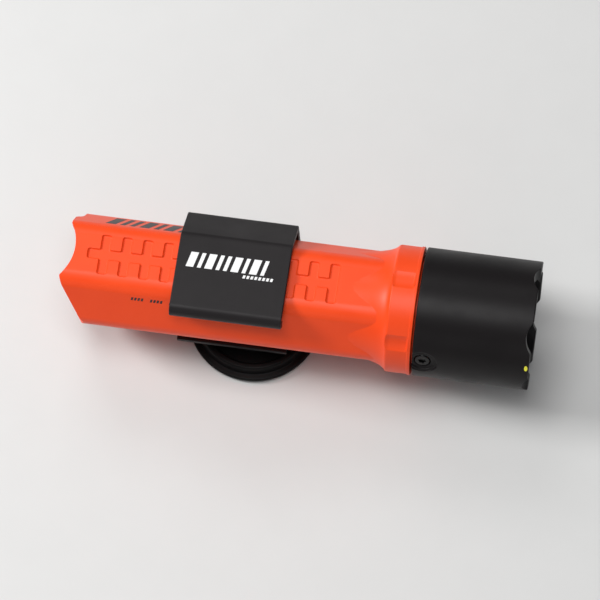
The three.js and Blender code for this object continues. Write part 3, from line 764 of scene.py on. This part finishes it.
def lens():
    """A flat clear disc with rounded edges."""
    back, front_face, r, edge = 154.0, 156.3, 18.5, 0.3
    front = spun("lens_fine", filleted([
        (back, 0, 0), (back, r, edge), (front_face, r, edge), (front_face, 0, 0)],
        closed=False), 128)
    smooth(front)
    return finish(front, CLEAR, "head", "lens_clear", "lens")


def reflector():
    """A smooth parabola inside, a plain skirt outside."""
    vertex, rim = (128.9, 3.6), (153.7, 18.0)
    wall, skirt_from, skirt_r, flange_r = 1.3, 140, 17.4, 18.6
    outside_end, points = 150, 24
    slope = (rim[1] ** 2 - vertex[1] ** 2) / (rim[0] - vertex[0])

    def bowl_r(x):
        return math.sqrt(vertex[1] ** 2 + slope * (x - vertex[0]))

    inside, outside = [], []
    for k in range(points + 1):
        t = (k / points) ** 1.7
        x = vertex[0] + (rim[0] - vertex[0]) * t
        inside.append((x, bowl_r(x)))
        x = vertex[0] + (outside_end - vertex[0]) * t
        outside.append((x, min(bowl_r(x) + wall, skirt_r)))
    bowl = [*inside, (rim[0], flange_r), (skirt_from, flange_r), (skirt_from, skirt_r),
            *reversed(outside)]
    mirror = spun("reflector_fine", [*bowl, bowl[0]], 144)
    smooth(mirror, 40)
    return finish(mirror, MIRROR, "head", "reflector_metal", "reflector")


def led():
    """A square ceramic base with bevelled edges, and a clear yellow dome on it."""
    side, middle, thin = 3.6, 129.15, 0.14
    bpy.ops.object.select_all(action="DESELECT")
    bpy.ops.mesh.primitive_cube_add(size=side * MM)
    base = bpy.context.object
    base.name = "led_base"
    flatten = Matrix.Diagonal((thin, 1, 1, 1))
    place(base, LIGHT @ Matrix.Translation((middle * MM, 0, 0)) @ flatten)
    soften(base, 0.1)
    smooth(base)
    finish(base, WHITE, "head", "white_plastic")
    foot, foot_r, dome_from, dome_r, dome_height = 129.4, 1.55, 129.45, 1.5, 1.4
    dome = [(foot, 0), (foot, foot_r)]
    for k in range(13):
        a = math.pi / 2 * k / 12
        dome.append((dome_from + dome_height * math.sin(a), dome_r * math.cos(a)))
    dome[-1] = (dome[-1][0], 0)
    top = spun("led_dome", dome, 48)
    smooth(top)
    return finish(top, LED, "head", "led_yellow", "led_emitter")


def yellow_dab():
    """A small yellow dab at the bezel's edge."""
    half_long, half_wide, thick, points = 1.15, 0.6, 0.12, 24
    outline = []
    for k in range(points):
        a = 2 * math.pi * k / points
        outline.append((half_wide * math.cos(a), half_long * math.sin(a)))
    spot = Vector((LENGTH - 0.95, 0, HEAD_R - thick / 2)) * MM
    dab = prism("yellow_dab", outline, thick, about_light(-60) @ Matrix.Translation(spot))
    soften(dab, 0.04)
    smooth(dab)
    return finish(dab, YELLOW_MARK, "head", "led_yellow")


# ---- The tail switch ----------------------------------------------------------------------------
def switch_button():
    """A rubber cap with a domed face, a raised ring and a shallow dish in the middle."""
    profile = filleted([
        (9.0, 0, 0), (9.0, 2.6, 0.8), (8.45, 3.6, 0.5), (8.6, 4.6, 0.6), (9.7, 6.2, 1.2),
        (15.8, 6.2, 0.2), (15.8, 8.6, 0.15), (17.0, 8.6, 0.15), (17.0, 0, 0)],
        closed=False, steps=6)
    cap = spun("switch_button_fine", profile, 96)
    smooth(cap)
    return finish(cap, RUBBER, "tail_button", "rubber", "switch_button")


def switch_spring():
    """The button's spring, between the button and the floor of its housing."""
    front, rear, wire, radius, turns = 18.2, 24.7, 0.35, 4.6, 4
    section = [(front + wire + wire * math.cos(a), radius + wire * math.sin(a))
               for a in (2 * math.pi * k / 12 for k in range(12))]
    spring = coil("switch_spring_fine", section, (rear - front - 2 * wire) / turns, turns, 40)
    finish(spring, STEEL, None, "steel", "switch_spring")
    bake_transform(spring)


# ---- The clip and its base ----------------------------------------------------------------------
def clip():
    """One strip: a line run round the light, drawn out along it, thickened and edge-rounded."""
    half_wall = CLIP_WALL / 2
    front, back = CLIP_HIGH.z - AXIS_Z - half_wall, CLIP_LOW.z - AXIS_Z + half_wall
    side = CLIP_HIGH.y - half_wall
    line = filleted([
        (-15.4, back, 0), (side, back, 2.0), (side, 8.7, 2.2), (10.2, front, 2.2),
        (-19.13, front, 2.2), (-15.1, 13.39, 0)], closed=False, steps=8)
    strip = chain("clip_fine", [(CLIP_LOW.x, y, AXIS_Z + z) for y, z in line])
    width = CLIP_HIGH.x - CLIP_LOW.x
    bpy.ops.mesh.extrude_region_move(TRANSFORM_OT_translate={"value": (width * MM, 0, 0)})
    bpy.ops.mesh.select_all(action="SELECT")
    bpy.ops.mesh.normals_make_consistent(inside=False)
    done()
    only(strip)
    change = strip.modifiers.new("wall", "SOLIDIFY")
    change.thickness = CLIP_WALL * MM
    change.offset = 0
    change.use_even_offset = True
    bpy.ops.object.modifier_apply(modifier=change.name)
    soften(strip, 0.35, 3, 50)
    hole_r, sink_r, land = 2.5, 4.8, 0.35
    outside, inside = back - half_wall, back + half_wall
    sink = [(back - 3, 0), (back - 3, hole_r), (outside + land, hole_r), (inside, sink_r),
            (inside + 1, sink_r + 0.2), (inside + 1, 0)]
    combine(strip, spun("sink", sink, 72, Matrix.Translation((0, 0, AXIS_Z * MM)) @ UP))
    smooth(strip)
    return finish(strip, CLIP_BLACK, "swivel_clip", "clip_plastic", "clip")


def base_disc():
    """The stepped disc with its turret, turned on a lathe, and the insert's bore."""
    low, top = BASE_LOW.z, BASE_HIGH.z
    r = BASE_HIGH.x
    profile = filleted([
        (low, 0, 0), (low, r, 0.5), (3.0, r, 0.7), (3.0, 21.1, 0.5), (6.5, 20.4, 0.9),
        (6.5, 18.0, 0.9), (4.0, 17.8, 0.5), (4.0, 12.6, 0.8), (top, 12.2, 0.9), (top, 4.1, 0.2),
        (3.6, 4.1, 0), (3.6, 0, 0)], closed=False, steps=6)
    disc = spun("base_disc_fine", profile, 160, UP)
    smooth(disc)
    return finish(disc, DISC_BLACK_SHADED, "mount_base", "black_plastic", "base_disc")


def adhesive_pad():
    """Soft foam with a slightly bulging edge."""
    r, top, bulge, points = PAD_HIGH.x, PAD_HIGH.z, 0.25, 10
    edge = []
    for k in range(points + 1):
        a = math.pi * k / points
        edge.append((top / 2 - top / 2 * math.cos(a), r - bulge + bulge * math.sin(a)))
    pad = spun("adhesive_pad_fine", [(0, 0), *edge, (top, 0)], 128, UP)
    smooth(pad, 50)
    return finish(pad, FOAM, "mount_base", "foam", "adhesive_pad")


# ---- Camera, floor and light --------------------------------------------------------------------
def camera():
    """Looks down on the light, tilted to its open side, its axis falling to the right."""
    back = Vector((0.082, -0.307, 0.945)).normalized()
    distance, roll = 1.5, math.radians(7.3)
    middle = Vector((TAIL_X + LENGTH / 2, -1.5, AXIS_Z)) * MM
    data = bpy.data.cameras.new("camera")
    data.lens = 262
    data.sensor_width = 36
    data.clip_start = 0.05
    data.clip_end = 20
    obj = bpy.data.objects.new("camera", data)
    bpy.context.collection.objects.link(obj)
    along = Vector((1, 0, 0))
    right = (along - back * along.dot(back)).normalized()
    right = Matrix.Rotation(roll, 3, back) @ right
    up = back.cross(right)
    turn = Matrix((right, up, back)).transposed().to_4x4()
    obj.matrix_world = Matrix.Translation(middle + back * distance) @ turn
    bpy.context.scene.camera = obj


def area(name, spot, target, size, power):
    """A rectangular lamp at a spot, turned to its target."""
    data = bpy.data.lights.new(name, "AREA")
    data.shape = "RECTANGLE"
    data.size, data.size_y = size
    data.energy = power
    obj = bpy.data.objects.new(name, data)
    bpy.context.collection.objects.link(obj)
    obj.location = spot
    obj.rotation_euler = (Vector(spot) - Vector(target)).to_track_quat("Z", "Y").to_euler()


def studio():
    """Soft lamps from the left, in front, above and below, and a dim even surrounding."""
    centre = (0.02, 0, 0.03)
    area("key", (-0.85, 0.05, 0.75), centre, (0.3, 0.3), 8.5)
    area("front", (-0.05, -0.1, 1.3), centre, (0.7, 0.4), 7.5)
    area("upper", (-0.3, 0.8, 1.0), centre, (0.6, 0.4), 3)
    area("low", (0.1, -1.0, 0.5), centre, (1.0, 0.5), 1.1)
    world = bpy.data.worlds.new("studio")
    bpy.context.scene.world = world
    world.use_nodes = True
    background = world.node_tree.nodes["Background"]
    background.inputs["Color"].default_value = (0.95, 0.96, 1.0, 1)
    background.inputs["Strength"].default_value = 0.17
    bpy.context.scene.view_settings.view_transform = "Standard"


def floor():
    """A pale floor just under the pad."""
    bpy.ops.object.select_all(action="DESELECT")
    bpy.ops.mesh.primitive_plane_add(size=4, location=(0, 0, 0))
    obj = bpy.context.object
    obj.name = "floor"
    place(obj, Matrix.Translation((0, 0, PAD_LOW.z * MM - 0.0002)))
    material = surface(
        "pale_floor", (0.66, 0.66, 0.65), (0.65, 0.65, 0.64), (0.7, 0.66), depth=0.0, scratches=0)
    obj.data.materials.append(material)


CAD_LOOKS = {
    "foam": FOAM, "black_plastic": BLACK, "brass": BRASS, "steel": STEEL,
    "clip_plastic": CLIP_BLACK, "orange_plastic": ORANGE, "rubber": RUBBER,
    "white_plastic": WHITE, "aluminium": ALUMINIUM, "led_yellow": LED,
    "reflector_metal": MIRROR, "lens_clear": CLEAR, "cell_wrap": WRAP,
}


def cad_looks():
    """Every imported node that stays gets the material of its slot."""
    for part in frame["record"]["subparts"]:
        mesh = frame["nodes"][part["node"]].data
        mesh.materials.clear()
        mesh.materials.append(CAD_LOOKS[part["material_slot"]])


camera()
studio()
floor()
cad_looks()
body_shell()
neck_thread()
marks()
head_shell()
lock_screw()
lens()
reflector()
led()
yellow_dab()
switch_button()
switch_spring()
clip()
base_disc()
adhesive_pad()
